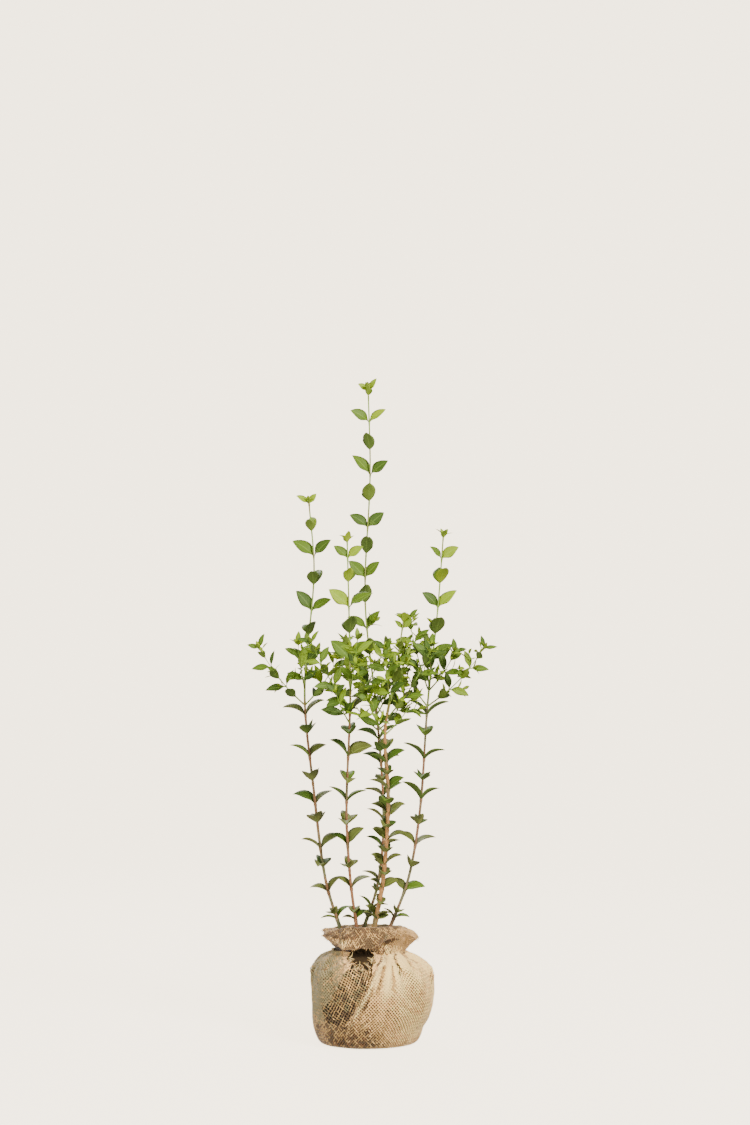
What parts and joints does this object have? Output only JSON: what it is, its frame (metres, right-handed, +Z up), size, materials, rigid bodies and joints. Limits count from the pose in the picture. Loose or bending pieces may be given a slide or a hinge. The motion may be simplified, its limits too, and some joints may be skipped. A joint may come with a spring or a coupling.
{
  "type": "hedge sapling with root ball",
  "caption": "Leafy multi-stemmed hedge sapling with slender canes and side shoots, standing on a root ball wrapped in burlap.",
  "frame": {"origin": "middle of the flat underside of the root ball, on the floor it stands on", "axes": "+Z up along the canes; +X to the right and -Y towards the viewer of the picture, the side with the tear in the burlap"},
  "size_m": [0.4041, 0.2561, 1.0666],
  "materials": {
    "bark": "thin reddish-brown to grey-green bark with raised leaf nodes",
    "foliage": "smooth, slightly glossy green leaves, yellower at the tips",
    "burlap": "coarse open plain weave of undyed jute",
    "soil": "moist crumbly dark soil"
  },
  "bodies": {
    "root": {"root_ball_soil": "soil", "burlap_wrap": "burlap", "burlap_frill": "burlap", "cane_left": "bark", "cane_middle_left": "bark", "cane_back": "bark", "cane_front": "bark", "cane_right": "bark", "leader_left": "foliage", "leader_middle_left": "foliage", "leader_back": "foliage", "leader_front": "foliage", "leader_right": "foliage", "shoot_left_1": "foliage", "shoot_left_2": "foliage", "shoot_left_3": "foliage", "shoot_left_4": "foliage", "shoot_middle_left_1": "foliage", "shoot_middle_left_2": "foliage", "shoot_middle_left_3": "foliage", "shoot_middle_left_4": "foliage", "shoot_middle_left_5": "foliage", "shoot_back_1": "foliage", "shoot_back_2": "foliage", "shoot_back_3": "foliage", "shoot_back_4": "foliage", "shoot_back_5": "foliage", "shoot_back_6": "foliage", "shoot_front_1": "foliage", "shoot_front_2": "foliage", "shoot_front_3": "foliage", "shoot_front_4": "foliage", "shoot_front_5": "foliage", "shoot_front_6": "foliage", "shoot_right_1": "foliage", "shoot_right_2": "foliage", "shoot_right_3": "foliage", "shoot_right_4": "foliage", "shoot_right_5": "foliage", "shoot_right_6": "foliage"}
  },
  "joints": []
}
